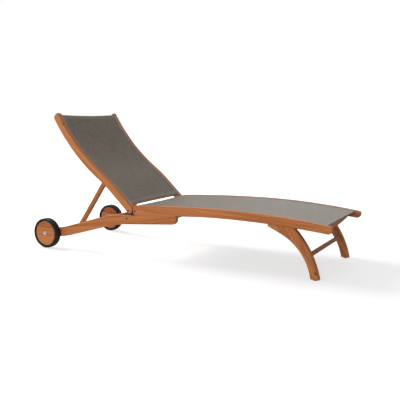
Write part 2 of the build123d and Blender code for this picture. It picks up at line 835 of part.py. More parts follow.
# Seat frame
pair("seat_rail", seat)
pair("wheel_arm", arm)
pair("front_leg", leg)
pair("hinge_plate", hinge_plate())
pair("strut_rack", rack)
pair("seat_track", seat_track)
nodes["leg_stretcher"] = turned_stretcher(leg_stretcher_x, leg_stretcher_z, leg_face)
nodes["axle_bar"] = axle_bar
nodes["foot_cross_bar"] = foot_bar
nodes["middle_cross_rail"] = middle_rail
nodes["seat_sling"] = swept(sling_section(1, rail_inner), seat_sling_line, 0)
group("seat_keder_rods", [both_sides(seat_keder)])
group("foot_glides", [both_sides(glide)])
group("seat_bar_dowels", [both_sides(pin) for pin in foot_dowels + middle_dowels])
group("arm_dowels", [both_sides(pin) for pin in arm_dowels])
group("leg_dowels", [both_sides(pin) for pin in leg_dowels])
group("seat_track_screws", [both_sides(screw) for screw in seat_screws])
group("rack_screws", [both_sides(screw) for screw in rack_screws])
frame_bolts = [plate_bolt(seat_bolt_x, seat_bolt_z), plate_bolt(arm_bolt_x, arm_bolt_z)]
plate_nuts = [plate_nut(hinge_x, hinge_z), plate_nut(seat_bolt_x, seat_bolt_z)]
plate_nuts.append(plate_nut(arm_bolt_x, arm_bolt_z))
group("frame_bolts", [both_sides(bolt) for bolt in frame_bolts])
group("hinge_pivot_bolts", [both_sides(plate_bolt(hinge_x, hinge_z, face_clearance))])
group("plate_nuts", [both_sides(nut) for nut in plate_nuts])
hinge_washer = peg(hinge_x, hinge_z, hinge_washer_radius, back_inner - face_clearance, rail_inner)
hinge_washer -= peg(hinge_x, hinge_z, bolt_radius, back_inner, rail_inner)
group("hinge_washers", [both_sides(hinge_washer)])
group("wheel_bolts", [both_sides(wheel_bolt())])
group("wheel_spacers", [both_sides(axle_ring(wheel_spacer_radius, wheel_inner, frame_half_width))])
group("hub_washers", [both_sides(axle_ring(hub_washer_radius, nut_seat, washer_seat))])
group("cap_nuts", [both_sides(cap_nut())])

# Backrest
pair("back_rail", back)
pair("back_track", back_track)
nodes["back_top_bar"] = top_bar
nodes["back_lower_bar"] = lower_bar
nodes["back_sling"] = swept(sling_section(-1, back_inner), back_sling_line, 0)
group("back_keder_rods", [both_sides(back_keder)])
group("back_bar_dowels", [both_sides(pin) for pin in lower_dowels + top_dowels])
group("back_track_screws", [both_sides(screw) for screw in back_screws])
bush_floor = frame_half_width - bolt_recess - bolt_head_height
hinge_bush = peg(hinge_x, hinge_z, bush_radius, bush_floor, back_inner)
hinge_bush -= peg(hinge_x, hinge_z, bolt_radius + running_clearance, bush_floor, back_inner)
group("hinge_bushes", [both_sides(hinge_bush)])
group("strut_pivot_screws", [both_sides(pivot_screw())])
spacer = peg(pivot.X, pivot.Y, spacer_radius, back_inner, back_inner - spacer_thickness)
spacer -= peg(pivot.X, pivot.Y, pivot_radius, back_inner, back_inner - spacer_thickness)
group("strut_spacers", [both_sides(spacer)])

# Support frame
pair("strut", strut())
nodes["support_bar"] = support_bar()

# Wheels
pair("wheel_disc", wheel_disc())
pair("tyre", tyre())
pair("hub_bush", hub_bush())

os.makedirs("parts", exist_ok=True)
for name, shape in nodes.items():
    shape.label = name
    export_step(shape, f"parts/{name}.step")
print(len(nodes), "nodes")
print("hinge", round(hinge_x, 2), round(hinge_z, 2), "strut pivot", round(pivot.X, 3), round(pivot.Y, 3))
print("feet", round(foot.X, 2), round(foot.Y, 2), "axle", axle_x, wheel_radius)
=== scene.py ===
# %% [markdown]
# # A reclining sun lounger
# The imported model holds every board, bolt and wheel of the lounger, in metres, on moving bodies. This lesson
# gives those pieces their finishes: oiled hardwood, drawn aluminium, zinc-plated steel, steel painted dark as
# painted shade, rubber and nylon. It also makes the two woven slings, which the imported model holds as plain
# sheets. First the model is loaded.

# %% Load the lounger
from math import cos, pi, radians, sin

import bpy
import numpy as np
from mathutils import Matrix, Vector


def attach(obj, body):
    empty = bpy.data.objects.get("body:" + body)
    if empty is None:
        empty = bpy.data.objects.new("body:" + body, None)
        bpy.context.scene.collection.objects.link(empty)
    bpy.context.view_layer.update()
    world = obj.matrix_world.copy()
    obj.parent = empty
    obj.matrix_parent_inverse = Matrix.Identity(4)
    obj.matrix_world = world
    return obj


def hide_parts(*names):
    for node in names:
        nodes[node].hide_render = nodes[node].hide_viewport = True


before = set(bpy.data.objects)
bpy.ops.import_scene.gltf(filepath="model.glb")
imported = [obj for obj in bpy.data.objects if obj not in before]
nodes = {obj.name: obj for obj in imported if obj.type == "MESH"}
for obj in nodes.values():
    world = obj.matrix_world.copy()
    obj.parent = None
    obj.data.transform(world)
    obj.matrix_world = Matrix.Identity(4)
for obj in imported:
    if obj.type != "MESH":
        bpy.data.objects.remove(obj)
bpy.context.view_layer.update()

# %% [markdown]
# ## Nodes without the mouse
# A finish is a small graph of shader nodes. It could be drawn by hand in the node editor, but the lounger
# needs many graphs that are nearly alike, so code draws them. One helper adds a node, sets its options and
# fills its sockets, either with a plain value or with a link from another node. Others start a material, or
# a node group: an effect with named inputs and outputs that several finishes can share.

# %% Helpers for shader graphs
def add(tree, kind, inputs=None, **options):
    """Add one node. An input's value may be a number, a tuple or another node's output socket."""
    node = tree.nodes.new(kind)
    for name, value in options.items():
        setattr(node, name, value)
    for socket, value in (inputs or {}).items():
        if isinstance(value, bpy.types.NodeSocket):
            tree.links.new(value, node.inputs[socket])
        else:
            node.inputs[socket].default_value = value
    return node


def math(tree, operation, first, second=0.0, third=0.0):
    """The result of one Math node. MULTIPLY_ADD is the first times the second, plus the third."""
    inputs = {0: first, 1: second, 2: third}
    return add(tree, "ShaderNodeMath", inputs, operation=operation).outputs[0]


def mixed(tree, factor, first, second):
    """Two colours mixed: the first at factor 0, the second at factor 1."""
    inputs = {0: factor, 6: first, 7: second}
    return add(tree, "ShaderNodeMix", inputs, data_type="RGBA").outputs[2]


def remap(tree, value, low, high, new_low=0.0, new_high=1.0):
    """Smooth step from one range to another."""
    inputs = {0: value, 1: low, 2: high, 3: new_low, 4: new_high}
    return add(tree, "ShaderNodeMapRange", inputs, interpolation_type="SMOOTHSTEP").outputs[0]


def stretched_noise(tree, vector, spots, detail, distortion=0.0):
    """Noise with so many spots per metre along each axis. Few of them are drawn out long."""
    scaled = add(tree, "ShaderNodeVectorMath", {0: vector, 1: spots}, operation="MULTIPLY")
    inputs = {"Vector": scaled.outputs[0], "Scale": 1.0, "Detail": detail, "Distortion": distortion}
    return add(tree, "ShaderNodeTexNoise", inputs).outputs[0]


def swayed(tree, value, noise, strength):
    """A value moved up and down by a noise: plus the strength times the noise less a half."""
    return math(tree, "MULTIPLY_ADD", math(tree, "SUBTRACT", noise, 0.5), strength, value)


# %% Helpers for groups and materials
def new_group(name, inputs):
    """Start a node group that takes the named inputs, and gives a colour, a roughness and a height."""
    tree = bpy.data.node_groups.new(name, "ShaderNodeTree")
    outputs = {"Color": "Color", "Roughness": "Float", "Height": "Float"}
    for direction, sockets in (("INPUT", inputs), ("OUTPUT", outputs)):
        for label, kind in sockets.items():
            tree.interface.new_socket(label, in_out=direction, socket_type="NodeSocket" + kind)
    given = tree.nodes.new("NodeGroupInput").outputs
    result = tree.nodes.new("NodeGroupOutput").inputs
    return tree, given, result


def new_finish(name, **values):
    """A material with one Principled shader, whose uniform values are set on the shader itself."""
    material = bpy.data.materials.new(name)
    material.use_nodes = True
    shader = material.node_tree.nodes["Principled BSDF"]
    for socket, value in values.items():
        shader.inputs[socket.replace("_", " ")].default_value = value
    return material, material.node_tree, shader


def surface(tree, shader, look, depth):
    """Feed the shader a colour, a roughness and a height, whose bumps are so many metres deep."""
    bump = add(tree, "ShaderNodeBump", {"Height": look["Height"], "Distance": depth, "Strength": 1.0})
    tree.links.new(look["Color"], shader.inputs["Base Color"])
    tree.links.new(look["Roughness"], shader.inputs["Roughness"])
    tree.links.new(bump.outputs[0], shader.inputs["Normal"])


# %% [markdown]
# ## Oiled hardwood
# The boards are plantation hardwood: orange-brown, with darker lines where the yearly rings are cut, fine
# fibres, and short dark pores. A picture of wood would stretch and repeat. Noise in three dimensions
# doesn't: it is drawn out along the grain, and the ring lines are the level lines of a slow noise, so they
# close into long loops as on a sawn board. A knot bends the rings round it and darkens.

# %% The grain, as a group
light_wood = (0.585, 0.218, 0.075, 1)
ring_wood = (0.262, 0.072, 0.019, 1)
pore_wood = (0.12, 0.034, 0.011, 1)
ring_count = 26.0
knot_bend = 0.12
ring_strength, fibre_strength, streak_strength, broad_strength = 0.24, 1.0, 1.5, 0.9
pore_strength = 0.4
ring_range, shade_range = (-0.6, 1.0), (-0.55, 1.0)
pore_range, knot_range = (0.64, 0.72), (0.3, 1.0)
least_roughness, fibre_roughness = 0.48, 0.25
fibre_height = 0.5

grain, given, result = new_group("oiled_grain", {"Vector": "Vector", "Knot": "Float", "Tone": "Float"})
board = given["Vector"]
slow = stretched_noise(grain, board, spots=(0.7, 9.0, 9.0), detail=1.0, distortion=0.2)
fibres = stretched_noise(grain, board, spots=(6.0, 380.0, 380.0), detail=3.0)
streaks = stretched_noise(grain, board, spots=(1.3, 70.0, 70.0), detail=3.0)
broad = stretched_noise(grain, board, spots=(1.2, 11.0, 11.0), detail=2.0)
specks = stretched_noise(grain, board, spots=(38.0, 1100.0, 1100.0), detail=1.0)
bent = math(grain, "MULTIPLY_ADD", given["Knot"], knot_bend, slow)
wave = math(grain, "SINE", math(grain, "MULTIPLY", bent, ring_count * 2 * pi))
rings = remap(grain, wave, *ring_range)
pores = remap(grain, specks, *pore_range)

# Rings, stronger where the broad shade is dark, then fibres, streaks, the broad shade and the board's tone
shade = math(grain, "MULTIPLY", rings, math(grain, "MULTIPLY", broad, ring_strength))
shade = swayed(grain, shade, fibres, fibre_strength)
shade = swayed(grain, shade, streaks, streak_strength)
shade = swayed(grain, shade, broad, broad_strength)
shade = math(grain, "ADD", shade, given["Tone"])
wood = mixed(grain, remap(grain, shade, *shade_range), light_wood, ring_wood)
wood = mixed(grain, math(grain, "MULTIPLY", pores, pore_strength), wood, pore_wood)
wood = mixed(grain, remap(grain, given["Knot"], *knot_range), wood, pore_wood)
grain.links.new(wood, result["Color"])
grain.links.new(math(grain, "MULTIPLY_ADD", fibres, fibre_roughness, least_roughness), result["Roughness"])
relief = math(grain, "SUBTRACT", math(grain, "MULTIPLY", fibres, fibre_height), pores)
grain.links.new(relief, result["Height"])
print("grain group with", len(grain.nodes), "nodes")

# %% [markdown]
# Each board is sawn along its length, so the grain runs the way the board does. The pattern could be laid
# along every board by hand, but a Mapping node does it with one angle: it turns the pattern, and the first
# axis of the turned pattern is the grain. Boards that lie the same way share a finish, and differ because
# the pattern is solid and they stand at different places in it. The wheels' discs are glued from three
# staves, which step from one tone to the next.

# %% Hardwood, turned to a direction
oil_gloss = 0.12
grain_depth = 0.0002
knot_core, knot_halo = 0.3, 1.6
knot_draw = (0.5, 1.0, 1.0)
stave_step = 0.2


def knot_share(tree, place, turn, centre, radius):
    """1 in a knot and 0 away from it, by the distance from its centre. Along the grain, only half counts."""
    offset = add(tree, "ShaderNodeVectorMath", {0: place, 1: centre}, operation="SUBTRACT").outputs[0]
    turned = add(tree, "ShaderNodeMapping", {"Vector": offset, "Rotation": turn}).outputs[0]
    oval = add(tree, "ShaderNodeVectorMath", {0: turned, 1: knot_draw}, operation="MULTIPLY").outputs[0]
    far = add(tree, "ShaderNodeVectorMath", {0: oval}, operation="LENGTH").outputs["Value"]
    return remap(tree, far, knot_core * radius, knot_halo * radius, 1.0, 0.0)


def stave_tone(tree, place, tone, seam, width):
    """A tone that steps up from stave to stave: the height above a seam, over the width, rounded down."""
    height = add(tree, "ShaderNodeSeparateXYZ", {0: place}).outputs["Z"]
    rank = math(tree, "FLOOR", math(tree, "MULTIPLY_ADD", height, 1 / width, -seam / width))
    return math(tree, "MULTIPLY_ADD", rank, stave_step, tone)


def hardwood(name, turn, tone=0.0, knots=(), staves=None):
    """Hardwood with its grain turned about the three axes. A higher tone is darker.

    A knot is its place and its radius, in metres. Staves are boards glued one above the other, given by the
    height of their lowest seam and their width.
    """
    material, tree, shader = new_finish("hardwood_" + name, Specular_IOR_Level=oil_gloss)
    place = add(tree, "ShaderNodeTexCoord").outputs["Object"]
    turned = add(tree, "ShaderNodeMapping", {"Vector": place, "Rotation": turn}).outputs[0]
    knot = 0.0
    for centre, radius in knots:
        knot = math(tree, "MAXIMUM", knot, knot_share(tree, place, turn, centre, radius))
    if staves:
        tone = stave_tone(tree, place, tone, *staves)
    inputs = {"Vector": turned, "Knot": knot, "Tone": tone}
    look = add(tree, "ShaderNodeGroup", inputs, node_tree=grain).outputs
    surface(tree, shader, look, grain_depth)
    return material


# %% Dress the boards
def dress(material, *names):
    """Give CAD pieces a finish in place of the plain one that they come with."""
    for name in names:
        mesh = nodes[name].data
        mesh.materials.clear()
        mesh.materials.append(material)
    print(material.name, "on", len(names), "pieces")


def sides(*names):
    """Names of the pieces on both sides: each name with _right, and with _left."""
    return [f"{name}_{side}" for name in names for side in ("right", "left")]


crosswise = (0, 0, -pi / 2)
rail_tilt = radians(-2.0)
arm_tilt = radians(8.0)
back_tilt = radians(-41.0)
leg_tilt = radians(-56.0)
strut_tilt = radians(55.2)
leg_knots = [((0.911, -0.311, 0.039), 0.006), ((0.839, -0.311, 0.178), 0.003)]
back_knots = [((-0.758, -0.311, 0.801), 0.006)]
disc_seam, stave_width = 0.083, 0.051
bars = ["leg_stretcher", "axle_bar", "foot_cross_bar", "middle_cross_rail", "back_top_bar", "back_lower_bar"]
dowels = ["seat_bar_dowels", "back_bar_dowels", "arm_dowels", "leg_dowels"]
dress(hardwood("rail", (0, rail_tilt, 0)), *sides("seat_rail"))
dress(hardwood("arm", (0, arm_tilt, 0)), *sides("wheel_arm", "strut_rack"))
dress(hardwood("back", (0, back_tilt, 0), tone=-0.1, knots=back_knots), *sides("back_rail"))
dress(hardwood("leg", (0, leg_tilt, 0), tone=0.1, knots=leg_knots), *sides("front_leg"))
dress(hardwood("strut", (0, strut_tilt, 0), tone=0.15), *sides("strut"))
dress(hardwood("disc", (0, 0, 0), tone=-0.1, staves=(disc_seam, stave_width)), *sides("wheel_disc"))
dress(hardwood("bar", crosswise, tone=0.3), *bars, "support_bar", *dowels)

# %% [markdown]
# ## Metal, rubber and nylon
# The tracks that hold the slings are drawn aluminium, with fine lines along their length. The wheels' bolts
# and nuts are steel with a zinc coat that is cloudy in places. The hinges' plates and bolts and the tracks'
# screws are steel too, but their colour is painted dark, as painted shade for the recesses and the gap where
# they sit. The tyres are black rubber, a little dusty. Glides, bushes and the rods in the slings' sleeves are
# black nylon. One flat colour for each would look like paint. All of them drift between two colours and two
# roughnesses with a noise, so one function makes them with different values.

# %% Finishes for the fittings
cloud_detail = 3.0
colour_range, rough_range = (0.3, 0.7), (0.25, 0.75)


def clouded(name, light, dark, spots, roughness, depth, **values):
    """A finish whose colour and roughness drift between two limits with a noise."""
    material, tree, shader = new_finish(name, **values)
    place = add(tree, "ShaderNodeTexCoord").outputs["Object"]
    cloud = stretched_noise(tree, place, spots, cloud_detail)
    look = {
        "Color": mixed(tree, remap(tree, cloud, *colour_range), dark, light),
        "Roughness": remap(tree, cloud, *rough_range, *roughness),
        "Height": cloud,
    }
    surface(tree, shader, look, depth)
    return material


drawn = clouded(
    "drawn_aluminium", light=(0.21, 0.22, 0.225, 1), dark=(0.15, 0.16, 0.165, 1),
    spots=(6, 900, 900), roughness=(0.5, 0.65), depth=0.00002, Metallic=1.0,
)
zinc = clouded(
    "zinc_plated_steel", light=(0.56, 0.58, 0.61, 1), dark=(0.36, 0.38, 0.41, 1),
    spots=(160, 160, 160), roughness=(0.3, 0.5), depth=0.00001, Metallic=1.0,
)
# Steel like the zinc-plated kind, with its colour darkened to paint the shade of the recesses and the hinge
# gap where it sits: painted shade.
painted_shade_steel = clouded(
    "steel_with_painted_shade", light=(0.075, 0.085, 0.1, 1), dark=(0.04, 0.046, 0.056, 1),
    spots=(160, 160, 160), roughness=(0.4, 0.6), depth=0.00001, Metallic=1.0,
)
rubber = clouded(
    "dusty_rubber", light=(0.011, 0.0112, 0.0118, 1), dark=(0.005, 0.0051, 0.0054, 1),
    spots=(90, 90, 90), roughness=(0.5, 0.75), depth=0.0001, Specular_IOR_Level=0.18,
)
nylon = clouded(
    "black_nylon", light=(0.03, 0.03, 0.03, 1), dark=(0.018, 0.018, 0.018, 1),
    spots=(400, 400, 400), roughness=(0.4, 0.55), depth=0.00003,
)
print("finishes:", *[finish.name for finish in (drawn, zinc, painted_shade_steel, rubber, nylon)])

# %% Dress the fittings
wheel_steel = ["wheel_bolts", "wheel_spacers", "hub_washers", "cap_nuts"]
strut_steel = ["rack_screws", "strut_pivot_screws", "strut_spacers"]
track_steel = ["seat_track_screws", "back_track_screws"]
hinge_steel = ["frame_bolts", "hinge_pivot_bolts", "plate_nuts", "hinge_washers"]
rods = ["seat_keder_rods", "back_keder_rods"]
dress(drawn, *sides("seat_track", "back_track"))
dress(zinc, *wheel_steel, *strut_steel)
dress(painted_shade_steel, *track_steel, *hinge_steel, *sides("hinge_plate"))
dress(rubber, *sides("tyre"))
dress(nylon, "foot_glides", *rods, "hinge_bushes", *sides("hub_bush"))

# %% [markdown]
# ## Woven sling fabric
# Sling fabric is a plain weave of coated polyester yarns, about a millimetre apart. Each yarn is round, and
# passes over and under the yarns that cross it. Modelled one by one, the yarns would need millions of
# faces. On the cloth's own UV map, in metres, they are two rows of half waves, and a chequer that says
# which of the two lies on top. Yarns differ a little in colour, and so do narrow bands and wide patches of
# the cloth. The gaps between the yarns are painted darker, as painted shade.

# %% The weave, as a group
pale_yarn = (0.236, 0.198, 0.154, 1)
deep_yarn = (0.118, 0.098, 0.076, 1)
# The next colour is painted shade for the gaps between the yarns, not a yarn's own colour.
painted_gap_shade = (0.03, 0.028, 0.025, 1)
pale_fold = (0.3, 0.28, 0.25, 1)
yarn_pitch = 0.0011
crossing_range, tone_range = (-0.3, 0.3), (0.25, 0.75)
patch_strength, band_strength = 0.12, 0.3
gap_depth, gap_shade_strength, fold_strength = 0.55, 0.45, 0.3
gap_roughness, crown_roughness = 0.72, 0.5

weave, given, result = new_group("sling_weave", {"UV": "Vector", "Doubled": "Float"})
cloth_uv = given["UV"]
parts = add(weave, "ShaderNodeSeparateXYZ", {0: cloth_uv}).outputs
wave_u = math(weave, "SINE", math(weave, "MULTIPLY", parts[0], pi / yarn_pitch))
wave_v = math(weave, "SINE", math(weave, "MULTIPLY", parts[1], pi / yarn_pitch))
over = remap(weave, math(weave, "MULTIPLY", wave_u, wave_v), *crossing_range)
under = math(weave, "SUBTRACT", 1.0, over)
crown_u = math(weave, "MULTIPLY", math(weave, "ABSOLUTE", wave_u), over)
crown_v = math(weave, "MULTIPLY", math(weave, "ABSOLUTE", wave_v), under)
height = math(weave, "ADD", crown_u, crown_v)

yarn_u = stretched_noise(weave, cloth_uv, spots=(900.0, 14.0, 1.0), detail=1.0)
yarn_v = stretched_noise(weave, cloth_uv, spots=(14.0, 900.0, 1.0), detail=1.0)
patches = stretched_noise(weave, cloth_uv, spots=(3.0, 3.0, 1.0), detail=2.0)
tone = math(weave, "MULTIPLY_ADD", yarn_u, over, math(weave, "MULTIPLY", yarn_v, under))
tone = swayed(weave, tone, patches, patch_strength)
for band_spots in ((240.0, 16.0, 1.0), (16.0, 240.0, 1.0)):
    bands = stretched_noise(weave, cloth_uv, band_spots, detail=1.0)
    tone = swayed(weave, tone, bands, band_strength)
colour = mixed(weave, remap(weave, tone, *tone_range), deep_yarn, pale_yarn)
# Painted shade: where the weave is low, between the yarns, the colour is darkened.
colour = mixed(weave, remap(weave, height, 0.0, gap_depth, gap_shade_strength, 0.0), colour, painted_gap_shade)
colour = mixed(weave, math(weave, "MULTIPLY", given["Doubled"], fold_strength), colour, pale_fold)
weave.links.new(colour, result["Color"])
weave.links.new(remap(weave, height, 0.0, 1.0, gap_roughness, crown_roughness), result["Roughness"])
weave.links.new(height, result["Height"])
print("weave group with", len(weave.nodes), "nodes")

# %% Sling fabric and its thread
weave_depth = 0.00025
coat = {"Specular_IOR_Level": 0.15, "Sheen_Weight": 0.06, "Sheen_Roughness": 0.4}
fabric, tree, shader = new_finish("sling_fabric", **coat)
uv = add(tree, "ShaderNodeUVMap", uv_map="cloth").outputs[0]
doubled = add(tree, "ShaderNodeAttribute", attribute_name="doubled").outputs["Fac"]
look = add(tree, "ShaderNodeGroup", {"UV": uv, "Doubled": doubled}, node_tree=weave).outputs
surface(tree, shader, look, weave_depth)
thread = clouded(
    "sewing_thread", light=(0.3, 0.28, 0.25, 1), dark=(0.2, 0.185, 0.165, 1),
    spots=(1500, 1500, 1500), roughness=(0.5, 0.7), depth=0.00005,
)
print("made", fabric.name, "and", thread.name)

# %% [markdown]
# ## The slings
# Each sling is one cloth. A sleeve along each side holds a rod, and rod and sleeve slide into the track on
# the rail. Both free ends are folded under and sewn twice. Pulled between its rods, a sling's free ends
# curve in a little, and its middle hangs a little lower than its sides. A cloth simulation could find that
# shape, but a tight cloth follows from the rails' lines, and a formula gives it the same way every time.
#
# The surface has two parameters: one goes round the rods and across, the other along the rails. The rails'
# lines are straight runs and arcs, so the lines are worked out as whole arrays of points.

# %% Lines along the rails
def ahead(angle):
    """Unit vectors along a heading: its cosine and its sine."""
    return np.stack([np.cos(angle), np.sin(angle)], -1)


def leftward(angle):
    """Unit vectors to the left of a heading: minus its sine, and its cosine."""
    return np.stack([-np.sin(angle), np.cos(angle)], -1)


def way(heading, length, turn, here):
    """Way from a step's start to a distance along it.

    A straight run is the distance times its heading. An arc is its radius, which is the length over the
    turn, times the left-hand normal at the start less the one there.
    """
    if turn:
        return (leftward(heading) - leftward(heading + turn * here / length)) * (length / turn)
    return here[..., None] * ahead(heading)


def line_along(start, heading, steps, distance):
    """Points and headings along a line of straight runs and tangent arcs.

    A step is its length and its turn to the left. Each starts where the one before it ends.
    """
    point = np.array(start, float)
    places = np.zeros((len(distance), 2))
    headings = np.zeros(len(distance))
    passed = 0.0
    for length, turn in steps:
        here = np.clip(distance - passed, 0, length)
        inside = distance >= passed
        places[inside] = (point + way(heading, length, turn, here))[inside]
        headings[inside] = (heading + turn * here / length)[inside]
        point = point + way(heading, length, turn, np.array(length))
        heading += turn
        passed += length
    return places, headings


quarter = line_along((0, 0), 0.0, [(pi / 2, pi / 2)], np.array([pi / 2]))[0]
print("a quarter turn to the left with a radius of 1 ends at", quarter.round(3).tolist())

# %% The seat's line and the back's line
crown_x, crown_z = 0.359, 0.3362
seat_rear_x, seat_foot_x = -0.235, 0.991
rear_radius, foot_radius = 8.8, 4.45
rear_angle = np.arcsin((crown_x - seat_rear_x) / rear_radius)
foot_angle = np.arcsin((seat_foot_x - crown_x) / foot_radius)
seat_steps = [(rear_radius * rear_angle, -rear_angle), (foot_radius * foot_angle, -foot_angle)]
seat_start = (seat_rear_x, crown_z - rear_radius * (1 - cos(rear_angle)))
seat_length = sum(length for length, _ in seat_steps)

hinge = np.array([-0.27, 0.285])
hinge_setback = 0.0096
back_heading = radians(180 - 43.08)
back_length, back_tail, back_straight = 0.800, 0.022, 0.164
back_bend, back_bend_radius, back_top_radius = radians(7.8), 0.9, 1.178
bend_length = back_bend_radius * back_bend
top_length = back_length - back_straight - bend_length
back_steps = [(back_tail + back_straight, 0.0), (bend_length, back_bend)]
back_steps += [(top_length, -top_length / back_top_radius)]
back_start = hinge - leftward(back_heading) * hinge_setback - ahead(back_heading) * back_tail
back_line_length = sum(length for length, _ in back_steps)
print("seat line", round(seat_length, 4), "m, back line", round(back_line_length, 4), "m")

# %% [markdown]
# A sling keeps the rails' line and its own few sizes, and can then say where any point of the cloth lies.
# The cloth, its hems and its stitches all ask it, so they fit each other. A Solidify modifier gives the
# cloth its wall.

# %% Sling surfaces
sheet_depth = 0.0033
cloth_thickness = 0.0012


class Sling:
    """A stretched cloth between two rails.

    edge is how far the rails' edge lies to the left of their line, and down the sign of a depth below it.
    half is half the way from rod to rod. low and high are the free ends, along the line. pull is how far
    each end is drawn in half way across, and sag how far the cloth hangs there.
    """

    def __init__(self, start, heading, steps, edge, down, half, low, high, pull, sag):
        self.line = (start, heading, steps)
        self.edge = edge
        self.down = down
        self.half = half
        self.low = low
        self.high = high
        self.pull = pull
        self.sag = sag

    def place(self, across, along, depth):
        """Points of the cloth: along the rails' line, moved below its edge by depth, and across in Y."""
        spots, heading = line_along(*self.line, along.ravel())
        side = self.edge + self.down * depth.ravel()
        beside = spots + leftward(heading) * side[:, None]
        points = np.stack([beside[:, 0], across.ravel(), beside[:, 1]], 1)
        return points.reshape(across.shape + (3,))

    def bow(self, across):
        """A parabola: 1 half way across, and 0 at both rods."""
        return np.clip(1 - (across / self.half) ** 2, 0, 1)

    def hang(self, across):
        """Depth of the cloth between the rods: the sheet's depth plus the sag times the parabola."""
        return sheet_depth + self.sag * self.bow(across)

    def ends(self, across):
        """Where the free ends lie along the rails: each moved inwards by its pull times the parabola."""
        return self.low + self.pull[0] * self.bow(across), self.high - self.pull[1] * self.bow(across)


def new_piece(name, data):
    """An object in the scene for a mesh, a lamp or a camera."""
    piece = bpy.data.objects.new(name, data)
    bpy.context.scene.collection.objects.link(piece)
    return piece


def cloth_piece(name, points, uv, doubled):
    """A cloth from a grid of points, with the grid's UV map in metres and where the cloth lies double."""
    rows, columns = points.shape[:2]
    index = np.arange(rows * columns).reshape(rows, columns)
    faces = np.stack([index[:-1, :-1], index[:-1, 1:], index[1:, 1:], index[1:, :-1]], -1).reshape(-1, 4)
    mesh = bpy.data.meshes.new(name)
    mesh.from_pydata(points.reshape(-1, 3).tolist(), [], faces.tolist())
    layer = mesh.uv_layers.new(name="cloth")
    layer.data.foreach_set("uv", uv.reshape(-1, 2)[faces.ravel()].ravel())
    mesh.polygons.foreach_set("use_smooth", np.ones(len(faces), bool))
    mark = mesh.attributes.new("doubled", "FLOAT", "POINT")
    mark.data.foreach_set("value", np.asarray(doubled, np.float32).ravel())
    mesh.materials.append(fabric)
    piece = new_piece(name, mesh)
    wall = piece.modifiers.new("wall", "SOLIDIFY")
    wall.thickness = cloth_thickness
    wall.offset = 0.0
    return piece


# %% The two slings
sleeve_radius = 0.0029
sleeve_turn = radians(285)
rod_depth = 0.0062
hem_width = 0.022
span_points, sleeve_points = 61, 15


def sleeve_profile(sling):
    """Across the cloth: on a circle round one rod, over to the other, and on a circle round that one.

    On a circle, a point lies half plus the radius times the sine of its turn from the middle, and as deep as
    the rod less the radius times the cosine.
    """
    span = np.linspace(-sling.half, sling.half, span_points)
    turn = np.linspace(0, sleeve_turn, sleeve_points)[1:]
    out = sling.half + sleeve_radius * np.sin(turn)
    drop = rod_depth - sleeve_radius * np.cos(turn)
    across = np.concatenate([-out[::-1], span, out])
    depth = np.concatenate([drop[::-1], sling.hang(span), drop])
    steps = np.hypot(np.diff(across), np.diff(depth))
    return across, depth, np.concatenate([[0], np.cumsum(steps)])


def make_sling(name, sling, rows):
    """The cloth and its flat size: the sleeves' profile, carried along the rails from end to end."""
    across, depth, measure = sleeve_profile(sling)
    low, high = sling.ends(across)
    along = low + (high - low) * np.linspace(0, 1, rows)[:, None]
    width = np.broadcast_to(across, along.shape)
    points = sling.place(width, along, np.broadcast_to(depth, along.shape))
    uv = np.stack([np.broadcast_to(measure, along.shape), along], -1)
    near_end = np.minimum(along - low, high - along) < hem_width
    piece = cloth_piece(name, points, uv, near_end & (np.abs(width) < sling.half))
    flat = (measure[-1], sling.high - sling.low)
    print(name, "is", round(flat[0], 3), "m by", round(flat[1], 3), "m flat")
    return piece, flat


seat_rear_gap, seat_foot_gap = 0.003, 0.033
seat_cloth = Sling(
    seat_start, rear_angle, seat_steps, edge=0.0, down=-1, half=0.2758,
    low=seat_rear_gap, high=seat_length - seat_foot_gap, pull=(0.004, 0.004), sag=0.002,
)
back_low, back_high = 0.024, 0.792
back_cloth = Sling(
    back_start, back_heading, back_steps, edge=-0.02235, down=1, half=0.2768,
    low=back_tail + back_low, high=back_tail + back_high, pull=(0.009, 0.005), sag=0.005,
)
seat_sling, seat_flat = make_sling("seat_sling_cloth", seat_cloth, rows=161)
back_sling, back_flat = make_sling("back_sling_cloth", back_cloth, rows=111)

# %% [markdown]
# A hem is the end of the cloth, folded under and sewn down. Its profile starts below the cloth, runs out to
# the free end and turns up round a small half circle to meet the cloth there. The stitches are short
# capsules that lie on the cloth in two rows. Both could be a pattern on the cloth, but the ends are seen
# from close by and edge-on, where a pattern looks flat.

# %% Hems
hem_inset = 0.012
hem_gap = 0.0013
hem_points, fold_points = 81, 9


def make_hem(name, sling, far_end):
    """A strip below the cloth, then a half circle up to it, carried across along the free end.

    On the half circle, the step beyond the end is half the gap times the cosine of the turn, and the depth
    below the cloth is half the gap times 1 less the sine.
    """
    width = np.linspace(hem_inset - sling.half, sling.half - hem_inset, hem_points)
    turn = np.linspace(-pi / 2, pi / 2, fold_points)
    step = np.concatenate([[-hem_width, -hem_width / 2], hem_gap / 2 * np.cos(turn)])
    drop = np.concatenate([[hem_gap, hem_gap], hem_gap / 2 - hem_gap / 2 * np.sin(turn)])
    low, high = sling.ends(width)
    along = high + step[:, None] if far_end else low - step[:, None]
    across = np.broadcast_to(width, along.shape)
    points = sling.place(across, along, sling.hang(across) + drop[:, None])
    return cloth_piece(name, points, np.stack([across, along], -1), np.ones(along.shape))


# %% Stitches
stitch_inset = 0.014
stitch_rows = (0.005, 0.018)
stitch_pitch, stitch_length, stitch_radius = 0.0042, 0.0030, 0.00038
station_count, ring_points, least_bulge = 6, 6, 0.02


